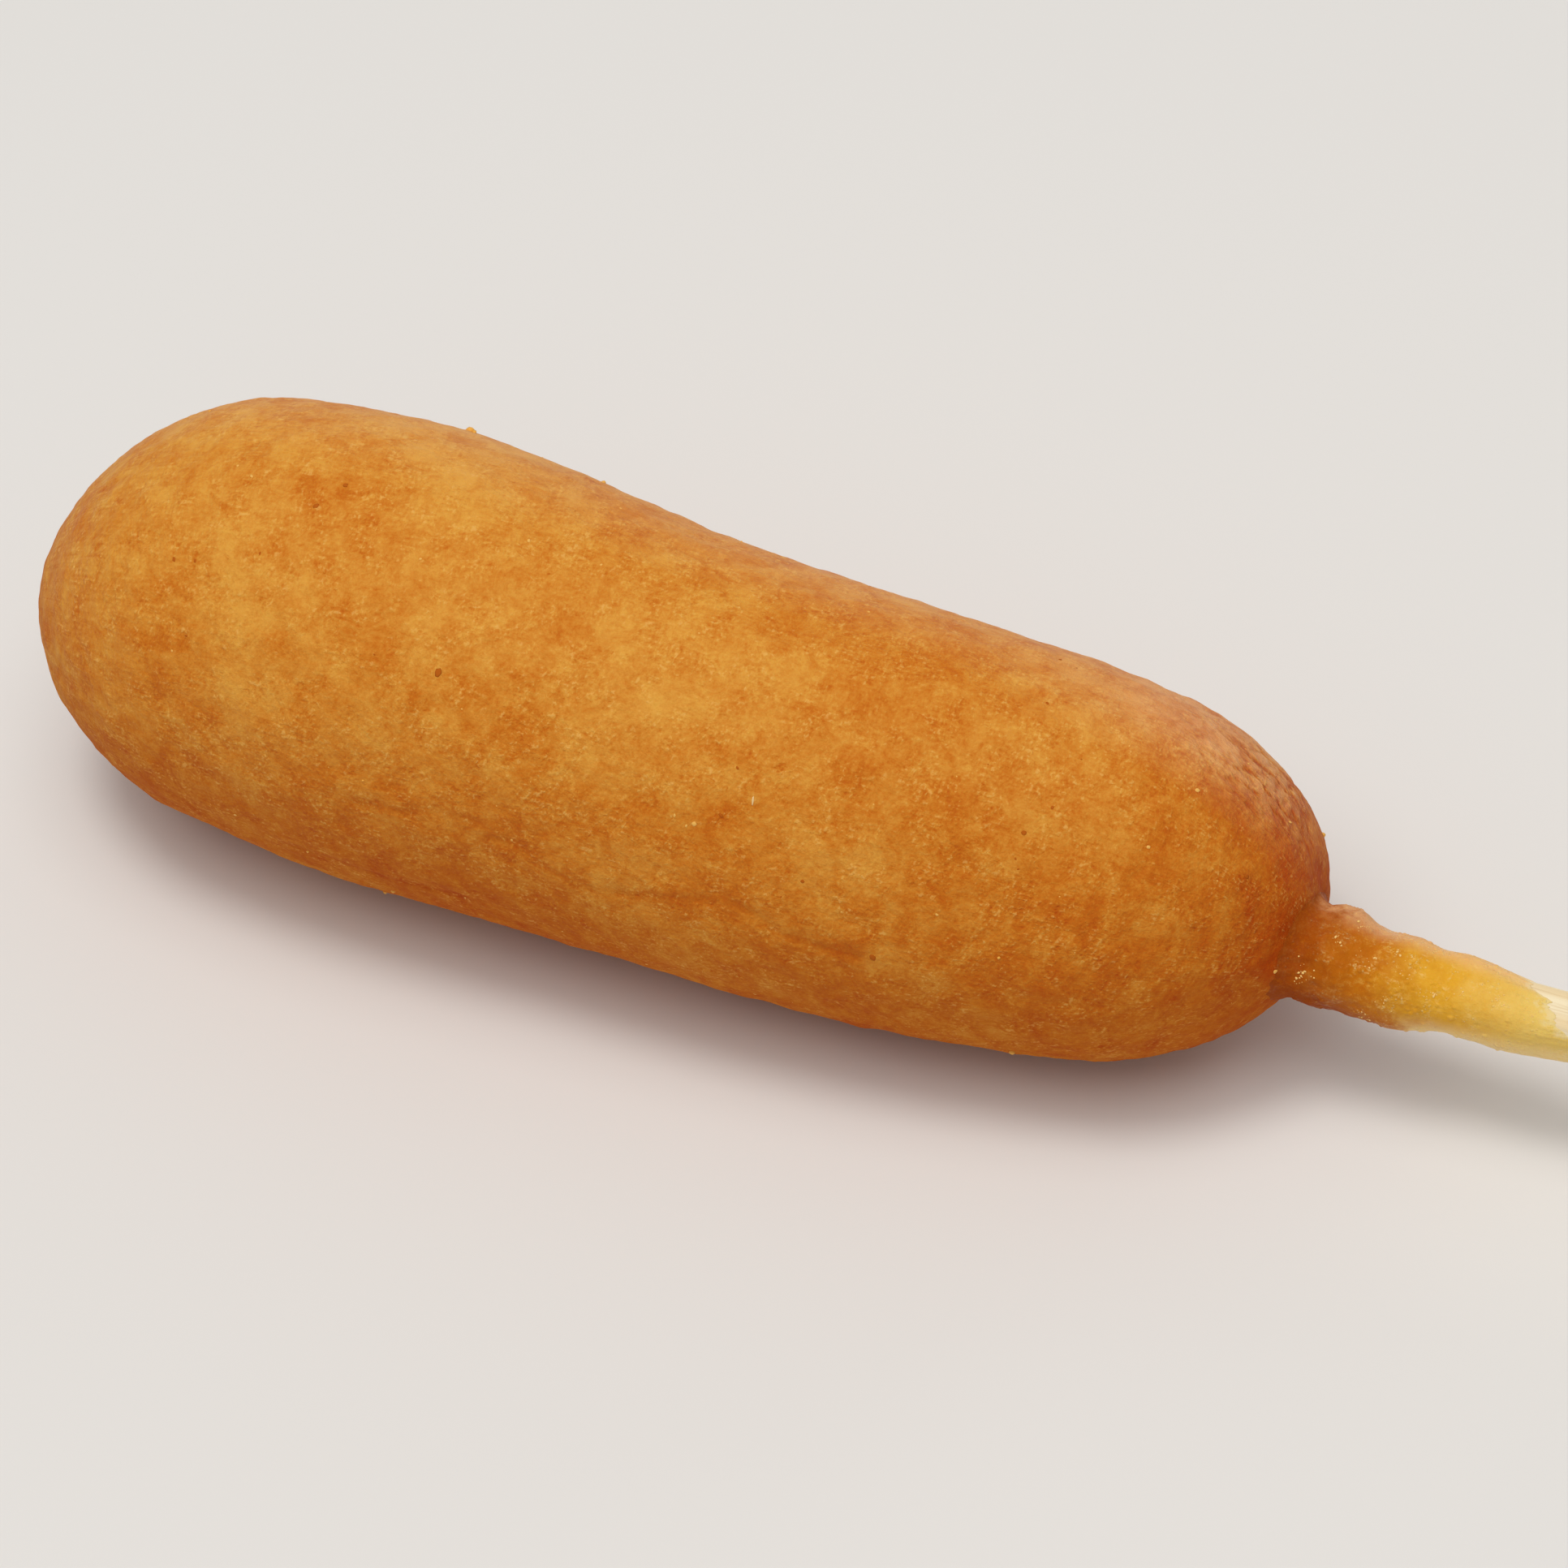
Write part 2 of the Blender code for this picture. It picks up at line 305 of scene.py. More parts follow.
def puckered_share(grid):
    """1 where the crust is wrinkled, on the back and top of its neck end, and 0 elsewhere."""
    from_neck = np.linalg.norm(grid - np.array(NECK_START), axis=2) / MM
    behind = np.clip((grid[:, :, 1] / MM + 1) / 5, 0, 1)
    band = np.exp(-(((from_neck - 15) / 8) ** 2))
    return band * behind * np.clip((grid[:, :, 2] / MM - 14) / 12, 0, 1)


def folds(grid):
    """1 in the bottom of the short folds that cross each other on the wrinkled part, 0 away from them."""
    out = grid - np.array(NECK_START)
    around = np.arctan2(out @ np.array(UP), out @ np.array(SIDE))
    from_neck = np.linalg.norm(out, axis=2)
    spun = np.stack([from_neck / 1.6, 18 * MM * np.cos(around), 18 * MM * np.sin(around)], axis=2)
    first = np.abs(noise_field(spun, ((2.3 * MM, 1.0), (1.0 * MM, 0.45))))
    second = np.abs(noise_field(grid, ((1.9 * MM, 1.0), (0.9 * MM, 0.45))))
    valleys = np.exp(-((first / 0.10) ** 2)) + 0.6 * np.exp(-((second / 0.10) ** 2))
    return np.clip(valleys, 0, 1) * puckered_share(grid)


def film_edge(angles):
    """How far along the stick the film runs at each angle."""
    slant = FILM_SLANT * np.cos(angles - FILM_LONGEST_AT)
    ragged = FILM_RAGGEDNESS * (np.sin(5 * angles) + 0.3 * np.sin(9 * angles + 1))
    fine = [noise.noise((5 * math.cos(a), 5 * math.sin(a), 4)) for a in angles]
    finest = [noise.noise((13 * math.cos(a), 13 * math.sin(a), 7)) for a in angles]
    return FILM_LENGTH + slant + ragged + (0.7 * np.array(fine) + 0.25 * np.array(finest)) * MM


def squared_radius(half, angles, power=STICK_SQUARENESS):
    """Distance from the stick's axis to its rounded-square outline."""
    return half / (np.abs(np.cos(angles)) ** power + np.abs(np.sin(angles)) ** power) ** (1 / power)


def along_stick(distances, radii, angles):
    """Points at distances from the neck's start and radii from the stick's axis."""
    spokes = np.cos(angles)[:, None] * np.array(SIDE) + np.sin(angles)[:, None] * np.array(UP)
    return np.array(NECK_START) + distances[..., None] * np.array(ALONG) + radii[..., None] * spokes


def neck_bubbles(points, first_row):
    """Little domes and burst pits on the neck, from frying, many of them in clusters."""
    random = np.random.default_rng(11)
    raised = np.zeros(points.shape[:2])
    rows, columns = raised.shape
    row, column = first_row, 0
    for _ in range(BUBBLES):
        if random.random() < 0.35:
            row = random.integers(first_row, rows - 6)
            column = random.integers(0, columns)
        else:
            row = int(np.clip(row + random.normal(0, 4), first_row, rows - 6))
            column = int(column + random.normal(0, 4)) % columns
        radius = BUBBLE_RADII[0] + (BUBBLE_RADII[1] - BUBBLE_RADII[0]) * random.random() ** 3
        near = np.ix_(np.arange(max(row - 6, 0), min(row + 7, rows)), np.arange(column - 6, column + 7) % columns)
        away = np.linalg.norm(points[near] - points[row, column], axis=2) / radius
        dome = np.clip(1 - away**2, 0, 1) * radius
        if random.random() < 0.2:
            raised[near] -= 0.35 * dome
        else:
            raised[near] = np.maximum(raised[near], 0.45 * dome)
    return raised


def neck_grid(crust_tree):
    """Rows of points from under the crust up the fillet, down the neck, round the film's edge and back."""
    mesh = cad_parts["batter"].data
    kept = [list(face.vertices) for face in mesh.polygons if off_axis(face.center) < 3 * NECK_RADIUS]
    tree = BVHTree.FromPolygons([vertex.co for vertex in mesh.vertices], kept)
    angles = turns(NECK_STEPS_ROUND)
    spokes = [math.cos(angle) * SIDE + math.sin(angle) * UP for angle in angles]

    def on_crust(reach):
        starts = [NECK_START + spoke * r + ALONG * REACH for spoke, r in zip(spokes, reach)]
        return np.array([REACH - crust_tree.ray_cast(start, -ALONG)[3] for start in starts])

    edge = film_edge(angles)
    wood = squared_radius(STICK_HALF, angles)
    root = np.array([outside(tree, NECK_START + ALONG * 1.2 * MM, spoke) for spoke in spokes])
    foot = on_crust(root + FILLET_RADIUS)
    slope = (foot - on_crust(root + 2 * FILLET_RADIUS)) / FILLET_RADIUS
    top = foot + (1 + slope) * FILLET_RADIUS
    share = np.linspace(0, 1, NECK_ROWS)[:, None]
    distances = top + (edge - top) * share
    radii = np.zeros(distances.shape)
    solid_edge = edge.min() - 0.8 * MM
    for i in range(NECK_ROWS):
        for j, spoke in enumerate(spokes):
            centre = NECK_START + ALONG * min(max(distances[i, j], 1.2 * MM), max(solid_edge, edge[j] - 1.6 * MM))
            radii[i, j] = outside(tree, centre, spoke) or 0
    radii = np.maximum(radii, wood + 0.3 * MM)
    radii = blurred(radii, NECK_SMOOTHING / (0.1 * MM))
    left = np.clip((NECK_ROWS - 1 - np.arange(NECK_ROWS)) / RIM_ROWS, 0, 1)[:, None]
    thin = np.sqrt(1 - (1 - left) ** 2) * (0.35 + 0.65 * left)
    radii = wood + RIM_THICKNESS + np.maximum(radii - wood - RIM_THICKNESS, 0) * thin
    bend = np.linspace(0, math.pi / 2, FILLET_ROWS, endpoint=False)[:, None]
    fillet_radii = radii[0] + FILLET_RADIUS * (1 - np.sin(bend))
    fillet_distances = foot + FILLET_RADIUS * (1 - np.cos(bend) + slope * np.sin(bend)) - SKIRT_SUNK[0] * np.cos(bend)
    out = np.linspace(1, 0, SKIRT_ROWS, endpoint=False)
    skirt_radii = np.array([radii[0] + FILLET_RADIUS + SKIRT_WIDTH * o for o in out])
    sunk = SKIRT_SUNK[0] + (SKIRT_SUNK[1] - SKIRT_SUNK[0]) * out[:, None]
    skirt_distances = np.array([on_crust(r) for r in skirt_radii]) - sunk
    distances = np.concatenate([skirt_distances, fillet_distances, distances])
    radii = np.concatenate([skirt_radii, fillet_radii, radii])
    outer = along_stick(distances, radii, angles)
    lumps = noise_field(outer, ((2.6 * MM, 0.26 * MM), (1.1 * MM, 0.15 * MM), (0.5 * MM, 0.06 * MM)))
    lumps *= np.clip(1 - distances / (16 * MM), 0.3, 1)
    rise = np.clip(np.arange(len(radii)) / (SKIRT_ROWS + FILLET_ROWS), 0, 1)[:, None] ** 2
    lift = (lumps + neck_bubbles(outer, SKIRT_ROWS + 4)) * rise
    lift[-NECK_ROWS:] *= thin
    outer = outer + normals_of(outer) * lift[:, :, None]
    inside = wood + 2 * RIM_THICKNESS
    inner = [along_stick(edge - back, inside, angles) for back in (0.05 * MM, 4 * MM)]
    inner.append(along_stick(foot - FILLET_RADIUS, inside, angles))
    return np.concatenate([outer, inner]), edge


def stick_grid():
    """Rows of points down the stick, with its eased ends and fine raised grain."""
    angles = turns(STICK_STEPS_ROUND)
    start = -(NECK_START - HIDDEN_END).length
    end = (FREE_END - NECK_START).length
    hidden = np.linspace(start, start + STICK_HIDDEN, 5)[:-1]
    distances = np.concatenate([hidden, np.linspace(start + STICK_HIDDEN, end, STICK_ROWS)])
    inward = np.minimum(distances - start, end - distances)
    eased = np.clip(1 - inward / STICK_EASED_EDGE, 0, 1) * STICK_EASED_EDGE
    halves = STICK_HALF - eased
    radii = np.array([squared_radius(half, angles) for half in halves])
    grid = along_stick(np.repeat(distances[:, None], len(angles), 1), radii, angles)
    lengthwise = grid.copy()
    lengthwise[:, :, 0] /= 30
    grain = noise_field(lengthwise, ((0.55 * MM, 0.035 * MM), (0.22 * MM, 0.02 * MM)))
    worn = noise_field(grid, ((3.0 * MM, 0.02 * MM),))
    dips = np.minimum(grain + worn - 0.02 * MM, 0)
    return along_stick(np.repeat(distances[:, None], len(angles), 1), radii + dips, angles)


# ---------------------------------------------------------------- finishes


class Finish:
    """A Principled material and short ways to add linked nodes to it. Sizes are in millimetres."""

    def __init__(self, name):
        self.material = bpy.data.materials.new(name)
        self.material.use_nodes = True
        self.tree = self.material.node_tree
        self.shader = self.tree.nodes["Principled BSDF"]
        coordinates = self.tree.nodes.new("ShaderNodeTexCoord")
        self.place = self.add("VectorMath", {"Vector": coordinates.outputs["Object"], "Scale": 1 / MM}, operation="SCALE")

    def add(self, kind, inputs, output=0, **settings):
        """A node, with its settings, and its inputs set or linked. Gives one of its outputs."""
        node = self.tree.nodes.new("ShaderNode" + kind)
        for key, value in settings.items():
            setattr(node, key, value)
        for key, value in inputs.items():
            if isinstance(value, bpy.types.NodeSocket):
                self.tree.links.new(value, node.inputs[key])
            else:
                node.inputs[key].default_value = value
        return node.outputs[output]

    def set(self, **inputs):
        """Sets or links the shader's own sockets."""
        for key, value in inputs.items():
            socket = self.shader.inputs[key.replace("_", " ")]
            if isinstance(value, bpy.types.NodeSocket):
                self.tree.links.new(value, socket)
            else:
                socket.default_value = value

    def stretched(self, place, factors):
        return self.add("VectorMath", {0: place, 1: factors}, operation="MULTIPLY")

    def noise(self, size, detail=2.0, roughness=0.5, twist=0.0, place=None, output=0):
        inputs = {"Vector": place or self.place, "Scale": 1 / size, "Detail": detail}
        inputs.update({"Roughness": roughness, "Distortion": twist})
        return self.add("TexNoise", inputs, output=output)

    def ramp(self, value, low, high, to_low=0.0, to_high=1.0):
        """value from low to high becomes to_low to to_high, smoothly, and no further."""
        inputs = {0: value, 1: low, 2: high, 3: to_low, 4: to_high}
        return self.add("MapRange", inputs, interpolation_type="SMOOTHSTEP")

    def math(self, operation, *values):
        return self.add("Math", dict(enumerate(values)), operation=operation)

    def mix(self, share, first, second):
        inputs = {"Factor": share, "A": first, "B": second}
        node = self.tree.nodes.new("ShaderNodeMix")
        node.data_type = "RGBA"
        for key, value in (("Factor", share), ("A", first), ("B", second)):
            socket = next(s for s in node.inputs if s.name == key and s.enabled)
            if isinstance(value, bpy.types.NodeSocket):
                self.tree.links.new(value, socket)
            else:
                socket.default_value = (*value, 1) if key != "Factor" else value
        return next(s for s in node.outputs if s.enabled)

    def bump(self, height, strength=1.0):
        """Bumps the surface by a height in millimetres."""
        self.set(Normal=self.add("Bump", {"Height": height, "Distance": MM, "Strength": strength}))


def strokes(finish, place, seed):
    """Short thin strokes along x: 1 on a pale stroke, -1 on a dark one, mostly near 0."""
    shifted = finish.add("VectorMath", {0: place, 1: (seed, seed, seed)}, operation="ADD")
    streaks = finish.noise(0.30, detail=1.0, twist=0.6, place=finish.stretched(shifted, (0.30, 1.0, 1.0)))
    return finish.add("MapRange", {"Value": streaks, 1: 0.26, 2: 0.74, 3: -1.0, 4: 1.0}, clamp=True)


def spun_place(finish, radius):
    """The place unrolled about the stick: along the body, round it, and out from it."""
    middle = (0, NECK_START.y / MM, NECK_START.z / MM)
    parts = finish.add("SeparateXYZ", {0: finish.add("VectorMath", {0: finish.place, 1: middle}, operation="SUBTRACT")})
    x, y, z = parts.node.outputs
    around = finish.math("MULTIPLY", finish.math("ARCTAN2", z, y), radius)
    out = finish.math("SQRT", finish.math("ADD", finish.math("MULTIPLY", y, y), finish.math("MULTIPLY", z, z)))
    return finish.add("CombineXYZ", {0: finish.math("SUBTRACT", x, out), 1: around})


def crust_finish():
    """Golden brown corn batter, cloudily mottled, with short pale fibres and fine wrinkles at its end."""
    finish = Finish("fried_crust")
    drift = finish.noise(4.0, detail=1.0, output="Color")
    warped = finish.add("VectorMath", {0: drift, 1: (4.0, 4.0, 4.0), 2: finish.place}, operation="MULTIPLY_ADD")
    clouds = finish.noise(3.8, detail=6.0, roughness=0.8, place=warped)
    brown = finish.add("Attribute", {}, output="Fac", attribute_name="browning_and_shade")
    puckered = finish.add("Attribute", {}, output="Fac", attribute_name="puckered")
    spun = spun_place(finish, 20.0)
    lines = finish.noise(0.42, detail=2.0, twist=0.8, place=finish.stretched(spun, (0.33, 1.0, 1.0)))
    lines = finish.math("MULTIPLY", finish.math("SUBTRACT", lines, 0.5), puckered)
    marks = strokes(finish, spun, 0.0)
    for number, turn in enumerate(((0.3, 0.2, 1.4), (1.2, 0.9, 0.5))):
        turned = finish.add("VectorRotate", {"Vector": finish.place, "Rotation": turn}, rotation_type="EULER_XYZ")
        marks = finish.math("ADD", marks, strokes(finish, turned, 5.0 + 4 * number))
    clusters = finish.ramp(finish.noise(2.6, detail=2.0), 0.40, 0.62, 0.5, 1.0)
    marks = finish.math("MULTIPLY", marks, clusters)
    tone = finish.math("MULTIPLY_ADD", finish.noise(14.0, detail=1.0), 0.35, clouds)
    tone = finish.math("SUBTRACT", tone, 0.675)
    tone = finish.math("MULTIPLY_ADD", marks, 0.075, tone)
    # Darker where browned near the neck end, and painted shade on the lower side and in the creases.
    tone = finish.math("MULTIPLY_ADD", brown, -0.32, tone)
    tone = finish.math("MULTIPLY_ADD", lines, 0.9, tone)
    folded = finish.add("Attribute", {}, output="Fac", attribute_name="folded")
    # Painted shade: darker in the bottoms of the folds.
    tone = finish.math("MULTIPLY_ADD", folded, -0.17, tone)
    light = finish.add("MapRange", {"Value": tone, 1: -0.51, 2: 0.31, 3: 0.0, 4: 1.0})
    colour = finish.mix(finish.ramp(light, 0.0, 0.62), (0.455, 0.062, 0.0015), (0.603, 0.174, 0.0095))
    colour = finish.mix(finish.ramp(light, 0.40, 1.0), colour, (0.748, 0.349, 0.051))
    # Painted sheen: paler on the upper back and the top of the neck end, kept out of the folds.
    pale = finish.add("Attribute", {}, output="Fac", attribute_name="pale")
    pale = finish.math("MULTIPLY", pale, finish.math("SUBTRACT", 1.0, folded))
    pale = finish.math("MULTIPLY", pale, finish.ramp(clouds, 0.3, 0.7, 0.6, 1.4))
    colour = finish.mix(pale, colour, (0.88, 0.44, 0.19))
    flecks = finish.ramp(marks, 0.5, 1.7, 0.0, 0.26)
    colour = finish.mix(flecks, colour, (0.88, 0.50, 0.16))
    height = finish.math("MULTIPLY", marks, 0.014)
    height = finish.math("MULTIPLY_ADD", finish.noise(0.9, detail=4.0, roughness=0.75), 0.24, height)
    height = finish.math("MULTIPLY_ADD", lines, 0.30, height)
    finish.bump(height)
    low = finish.add("Attribute", {}, output="Fac", attribute_name="low")
    gloss = finish.math("MULTIPLY_ADD", puckered, -0.12, finish.math("MULTIPLY_ADD", low, 0.4, 0.5))
    finish.set(Base_Color=colour, Roughness=gloss, Specular_IOR_Level=0.10)
    finish.set(Subsurface_Weight=0.10, Subsurface_Radius=(1.0, 0.45, 0.12), Subsurface_Scale=1.2 * MM)
    return finish.material


def plain_finish(name, colour, roughness, specular=0.3):
    finish = Finish(name)
    finish.set(Base_Color=(*colour, 1), Roughness=roughness, Specular_IOR_Level=specular)
    return finish.material


def neck_finish():
    """Glossy batter that turns from brown at the body to amber, yellow and a pale film."""
    finish = Finish("batter_neck")
    distance = finish.add("Attribute", {}, output="Fac", attribute_name="along")
    wander = finish.math("MULTIPLY_ADD", finish.noise(2.6, detail=5.0, roughness=0.7), 9.0, -4.5)
    distance = finish.math("ADD", distance, wander)
    upward = finish.add("Attribute", {}, output="Fac", attribute_name="upward")
    # Painted shade: the lower side is pushed towards the browner colours nearer the body.
    lower_side = finish.ramp(upward, 0.2, -0.6)
    browned_and_shaded = finish.math("MULTIPLY_ADD", lower_side, -4.0, distance)
    colour = finish.mix(finish.ramp(browned_and_shaded, -1.0, 6.5), (0.33, 0.056, 0.001), (0.53, 0.146, 0.002))
    colour = finish.mix(finish.ramp(browned_and_shaded, 5.0, 14.0), colour, (0.78, 0.38, 0.022))
    colour = finish.mix(finish.ramp(distance, 13.0, 23.0), colour, (0.84, 0.56, 0.13))
    creamy = finish.math("MULTIPLY", lower_side, finish.ramp(distance, 8.0, 13.0, 0.0, 0.95))
    colour = finish.mix(creamy, colour, (0.94, 0.67, 0.29))
    # Partly a thin translucent skin and partly painted sheen: the top and back of the collar are painted paler.
    backward = finish.add("Attribute", {}, output="Fac", attribute_name="backward")
    skin_and_sheen = finish.math("MULTIPLY", finish.ramp(backward, -0.05, 0.6), finish.ramp(upward, 0.1, 0.7))
    skin_and_sheen = finish.math("MULTIPLY", skin_and_sheen, finish.ramp(distance, 0.5, 4.0, 0.0, 0.6))
    colour = finish.mix(skin_and_sheen, colour, (0.86, 0.50, 0.24))
    grain = finish.noise(0.8, detail=4.0, roughness=0.85)
    light_share = finish.ramp(browned_and_shaded, 0.0, 9.0, 0.06, 0.35)
    light = finish.math("MULTIPLY", finish.ramp(grain, 0.50, 0.68), light_share)
    colour = finish.mix(light, colour, (0.88, 0.52, 0.10))
    dark = finish.math("MULTIPLY", finish.ramp(grain, 0.50, 0.32), finish.ramp(distance, 3.0, 11.0, 0.5, 0.10))
    colour = finish.mix(dark, colour, (0.48, 0.12, 0.002))
    left = finish.add("Attribute", {}, output="Fac", attribute_name="left")
    worn = finish.math("MULTIPLY_ADD", finish.noise(0.9, detail=3.0, roughness=0.65), 5.0, -2.5)
    faded = finish.ramp(finish.math("ADD", left, worn), 0.0, 1.6, 0.5, 0.0)
    colour = finish.mix(faded, colour, (0.90, 0.72, 0.42))
    clusters = finish.ramp(finish.noise(1.8, detail=2.0), 0.47, 0.62)
    # Painted glints: pale dots in clusters over the little bubbles, which also raise them as bumps.
    cells = finish.add("TexVoronoi", {"Vector": finish.place, "Scale": 1 / 0.42})
    bubble_glint_dots = finish.math("MULTIPLY", finish.ramp(cells, 0.08, 0.34, 1.0, 0.0), clusters)
    glint_dot_share = finish.ramp(distance, 0.0, 8.0, 0.08, 0.45)
    colour = finish.mix(finish.math("MULTIPLY", bubble_glint_dots, glint_dot_share), colour, (0.95, 0.70, 0.26))
    # Painted glints: short pale-yellow dashes in the same clusters.
    turned = finish.add("VectorRotate", {"Vector": finish.place, "Rotation": (0.4, 0.9, 0.7)}, rotation_type="EULER_XYZ")
    marks = finish.math("ADD", strokes(finish, finish.place, 3.0), strokes(finish, turned, 8.0))
    glint_mark_share = finish.math("MULTIPLY", finish.ramp(marks, 0.2, 1.2), clusters)
    glint_mark_share = finish.math("MULTIPLY", glint_mark_share, finish.ramp(distance, 0.0, 8.0, 0.05, 0.35))
    colour = finish.mix(glint_mark_share, colour, (0.95, 0.62, 0.20))
    height = finish.math("MULTIPLY", bubble_glint_dots, 0.05)
    height = finish.math("MULTIPLY_ADD", grain, 0.10, height)
    height = finish.math("MULTIPLY_ADD", marks, 0.006, height)
    finish.bump(height)
    gloss = finish.math("MULTIPLY_ADD", clusters, -0.25, finish.ramp(distance, -1.0, 7.0, 0.8, 0.48))
    finish.set(Base_Color=colour, Roughness=gloss, Specular_IOR_Level=0.12)
    finish.set(Subsurface_Weight=0.10, Subsurface_Radius=(1.0, 0.5, 0.12), Subsurface_Scale=0.6 * MM)
    return finish.material


def wood_finish():
    """Pale birch with fine lengthwise grain."""
    finish = Finish("birch")
    lengthwise = finish.stretched(finish.place, (0.02, 1.0, 1.0))
    fibres = finish.noise(0.30, detail=3.0, roughness=0.75, place=lengthwise)
    bands = finish.noise(1.1, detail=2.0, place=lengthwise)
    colour = finish.mix(finish.ramp(bands, 0.35, 0.65), (0.84, 0.64, 0.36), (0.93, 0.78, 0.51))
    colour = finish.mix(finish.ramp(fibres, 0.50, 0.72, 0.0, 0.6), colour, (0.66, 0.44, 0.20))
    finish.bump(finish.math("MULTIPLY", fibres, -0.07))
    finish.set(Base_Color=colour, Roughness=0.62)
    return finish.material


# ---------------------------------------------------------------- pieces


def set_attribute(piece, name, values):
    piece.data.attributes.new(name, "FLOAT", "POINT").data.foreach_set("value", values)


def with_ends(field):
    """A grid's values as a list for its closed loft, whose first and last points close the ends."""
    return np.concatenate([[field[0].mean()], field.ravel(), [field[-1].mean()]])


def make_crust():
    grid = body_grid()
    normals = normals_of(grid)
    sizes = ((11 * MM, 0.20 * MM), (4.5 * MM, 0.13 * MM), (2.2 * MM, 0.11 * MM), (1.2 * MM, 0.085 * MM))
    creased = crease_share(grid)
    folded = folds(grid)
    lift = noise_field(grid, sizes) - 0.16 * MM * folded - CREASE_DEPTH * creased
    grid = grid + normals * lift[:, :, None]
    grid[:, :, 2] = np.maximum(grid[:, :, 2], 0)
    piece = closed_loft("crust", grid, crust_finish())
    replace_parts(piece, "batter")
    to_neck = np.linalg.norm(grid - np.array(NECK_START), axis=2) / MM
    # Browning and shade: real browning round the neck end's dome, painted shade that darkens the lower side and the
    # creases, and less brown towards the top.
    dome = 0.75 * np.exp(-((to_neck / 14) ** 2)) + 0.3 * np.clip(1 - to_neck / 75, 0, 1)
    below = np.clip((31 - grid[:, :, 2] / MM) / 20, 0, 1)
    above = np.clip((grid[:, :, 2] / MM - 30) / 10, 0, 1)
    browning_and_shade = dome + 0.6 * below**1.2 * (1 - dome) - 0.18 * above + 0.25 * creased
    # Painted sheen: the crust is painted paler on its upper back and on the top and back of the neck end, where it
    # would catch a sheen.
    behind = np.clip((grid[:, :, 1] / MM - 2) / 14, 0, 1) * np.clip((grid[:, :, 2] / MM - 20) / 10, 0, 1)
    behind *= 1 + 0.7 * np.exp(-(((grid[:, :, 0] / MM + 12) / 18) ** 2))
    sheen = np.exp(-(((to_neck - 20) / 10) ** 2)) * np.clip((grid[:, :, 1] / MM + 1) / 7, 0, 1)
    sheen *= np.clip((grid[:, :, 2] / MM - 15) / 10, 0, 1)
    set_attribute(piece, "pale", with_ends(0.24 * behind + 0.42 * sheen))
    set_attribute(piece, "folded", with_ends(folded))
    set_attribute(piece, "low", with_ends(below))
    set_attribute(piece, "browning_and_shade", with_ends(browning_and_shade))
    set_attribute(piece, "puckered", with_ends(puckered_share(grid)))
    return tree_of(grid)


def make_neck(crust_tree):
    grid, edge = neck_grid(crust_tree)
    piece = closed_loft("neck", grid, neck_finish())
    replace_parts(piece, "batter")
    out = grid - np.array(NECK_START)
    along = out @ np.array(ALONG)
    out -= along[..., None] * np.array(ALONG)
    set_attribute(piece, "along", with_ends(along / MM))
    set_attribute(piece, "left", with_ends((edge - along) / MM))
    away = np.linalg.norm(out, axis=2)
    set_attribute(piece, "upward", with_ends(out @ np.array(UP) / away))
    set_attribute(piece, "backward", with_ends(out @ np.array(SIDE) / away))
    return tree_of(grid)


def lumps_piece(name, spots, material):
    """Many small uneven lumps as one piece: each spot is a place, its normal and three half sizes."""
    random = np.random.default_rng(len(name))
    model = bmesh.new()
    bmesh.ops.create_icosphere(model, subdivisions=2, radius=1)
    shape = np.array([vertex.co[:] for vertex in model.verts])
    sides = [[vertex.index for vertex in face.verts] for face in model.faces]
    model.free()
    points, faces = [], []
    for place, normal, half_sizes in spots:
        turn = Vector(normal).to_track_quat("Z", "Y") @ Quaternion((0, 0, 1), random.uniform(0, 2 * math.pi))
        axes = np.array(turn.to_matrix())
        uneven = shape * (1 + random.uniform(-0.18, 0.18, (len(shape), 1)))
        faces += [[len(points) * len(shape) + i for i in side] for side in sides]
        points.append(np.array(place) + (uneven * np.array(half_sizes)) @ axes.T)
    piece = add_piece(name, np.concatenate(points), faces, material)
    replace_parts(piece, "batter")


def make_specks(tree):
    """Brown specks, bits of corn meal, crumbs and one bristle on the crust."""
    random = np.random.default_rng(5)

    def scattered(seen, count, low, high, flatness):
        more = [
            (random.uniform(-94, 30), random.uniform(0, 360), low + (high - low) * random.random() ** 2)
            for _ in range(count)
        ]
        spots = []
        for along, round_way, radius in (*seen, *more):
            place, normal = place_on(tree, along, round_way)
            if place and place.z > 0.5 * MM:
                wide = radius * random.uniform(0.6, 1)
                spots.append((place, normal, np.array([radius, wide, radius * flatness]) * MM))
        return spots

    brown = plain_finish("browned_speck", (0.46, 0.105, 0.008), 0.7, 0.05)
    lumps_piece("brown_specks", scattered(BROWN_SPECKS, MORE_BROWN_SPECKS, 0.08, 0.24, 0.12), brown)
    corn = plain_finish("corn_meal", (0.83, 0.44, 0.09), 0.5)
    lumps_piece("corn_specks", scattered(CORN_SPECKS, MORE_CORN_SPECKS, 0.06, 0.16, 0.3), corn)
    crumb = plain_finish("crumb", (0.80, 0.40, 0.06), 0.5)
    lumps_piece("crumbs", scattered(CRUMBS, MORE_CRUMBS, 0.12, 0.26, 0.9), crumb)
    bristle = plain_finish("bristle", (0.86, 0.58, 0.26), 0.45)
    place, normal = place_on(tree, *BRISTLE)
    lumps_piece("pale_bristle", [(place, normal, BRISTLE_SIZES)], bristle)


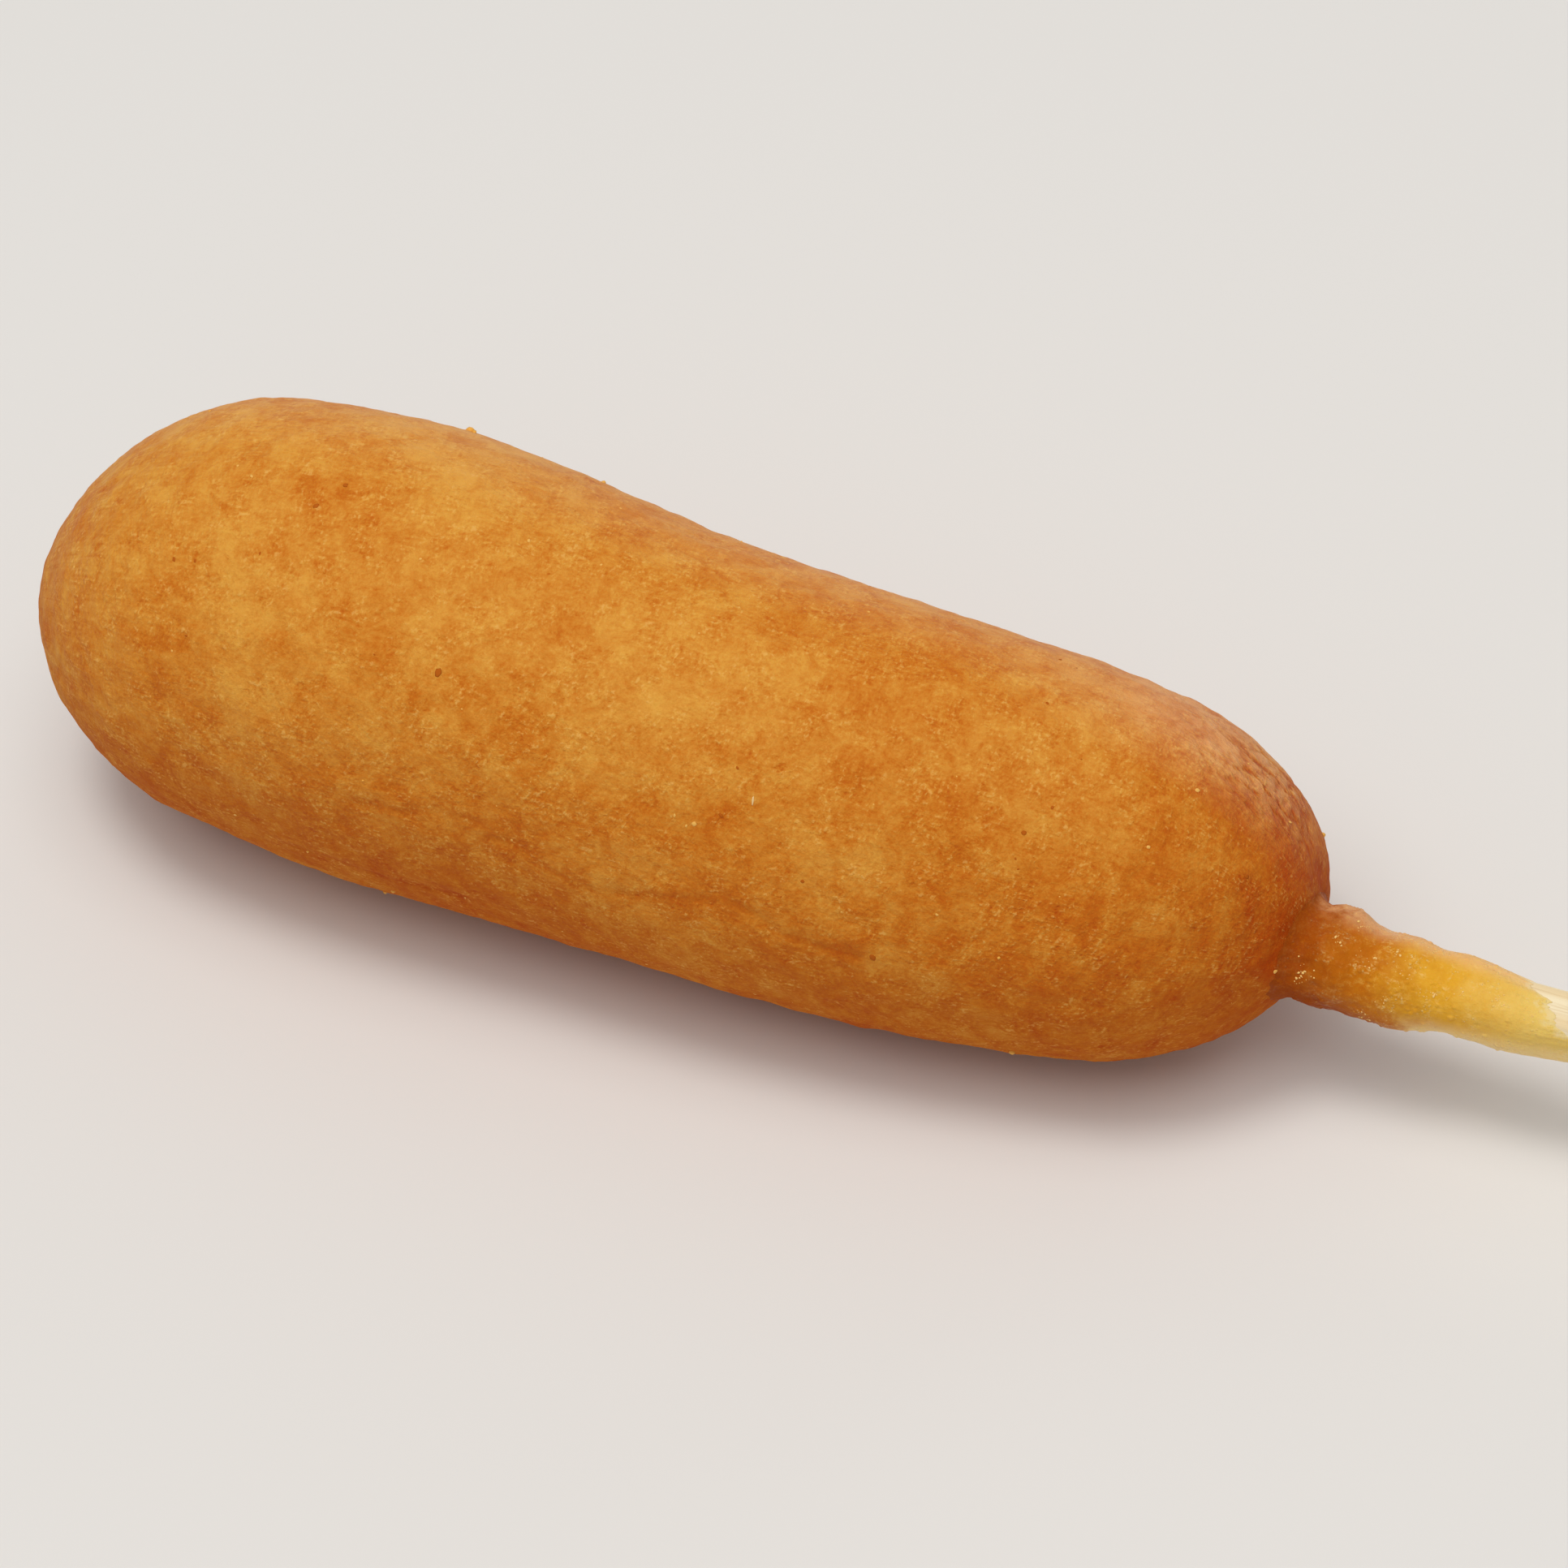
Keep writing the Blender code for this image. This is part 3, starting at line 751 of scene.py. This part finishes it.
def make_beads(neck_tree):
    """Clusters of tiny bubbles on the neck, coloured pale as painted glints."""
    random = np.random.default_rng(8)
    spots = []
    for distance, degrees in BEAD_CLUSTERS:
        for _ in range(BEADS_IN_CLUSTER):
            centre = NECK_START + ALONG * (distance + random.normal(0, 0.45)) * MM
            angle = math.radians(degrees + random.normal(0, 6))
            way = math.cos(angle) * SIDE + math.sin(angle) * UP
            place, normal = neck_tree.ray_cast(centre + way * REACH, -way)[:2]
            radius = BEAD_RADII[0] + (BEAD_RADII[1] - BEAD_RADII[0]) * random.random() ** 3
            spots.append((place, normal, (radius, radius * random.uniform(0.6, 1), radius * 0.7)))
    lumps_piece("neck_beads", spots, plain_finish("glint_bead", (0.92, 0.58, 0.18), 0.2, 0.4))


def make_stick():
    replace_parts(closed_loft("wooden_stick", stick_grid(), wood_finish()), "stick")


def make_floor():
    bpy.ops.mesh.primitive_plane_add(size=4)
    floor = bpy.context.object
    floor.name = "floor"
    finish = Finish("pale_floor")
    finish.set(Base_Color=(0.77, 0.735, 0.69, 1), Roughness=0.9)
    floor.data.materials.append(finish.material)


def area_light(name, place, size, watts, glints):
    light = bpy.data.lights.new(name, "AREA")
    light.shape = "DISK"
    light.size = size
    light.energy = watts
    lamp = bpy.data.objects.new(name, light)
    lamp.location = place
    lamp.rotation_euler = (-Vector(place)).to_track_quat("-Z", "Y").to_euler()
    lamp.visible_glossy = glints
    bpy.context.scene.collection.objects.link(lamp)


def make_light():
    world = bpy.data.worlds.new("studio")
    world.use_nodes = True
    background = world.node_tree.nodes["Background"]
    background.inputs["Color"].default_value = (0.94, 0.97, 1.0, 1)
    background.inputs["Strength"].default_value = 0.405
    bpy.context.scene.world = world
    area_light("soft", (0.0, -0.20, 1.0), 1.0, 5.2, False)
    area_light("key", (-0.15, -0.10, 1.1), 0.35, 2.7, True)
    area_light("back", (0.25, 0.9, 0.35), 0.5, 0.8, True)
    bpy.context.scene.view_settings.view_transform = "Standard"


def make_camera():
    """Looks down on the corn dog from its stick's end and its front, slightly rolled."""
    level = math.cos(VIEW_ELEVATION)
    back = Vector((math.sin(VIEW_AZIMUTH) * level, -math.cos(VIEW_AZIMUTH) * level, math.sin(VIEW_ELEVATION)))
    camera = bpy.data.objects.new("camera", bpy.data.cameras.new("camera"))
    camera.data.lens = LENS_MM
    camera.location = VIEW_AIM + back * VIEW_DISTANCE
    camera.rotation_mode = "QUATERNION"
    camera.rotation_quaternion = (-back).to_track_quat("-Z", "Y") @ Quaternion((0, 0, 1), VIEW_ROLL)
    bpy.context.scene.collection.objects.link(camera)
    bpy.context.scene.camera = camera


make_camera()
make_light()
make_floor()
crust_tree = make_crust()
neck_tree = make_neck(crust_tree)
make_specks(crust_tree)
make_beads(neck_tree)
make_stick()
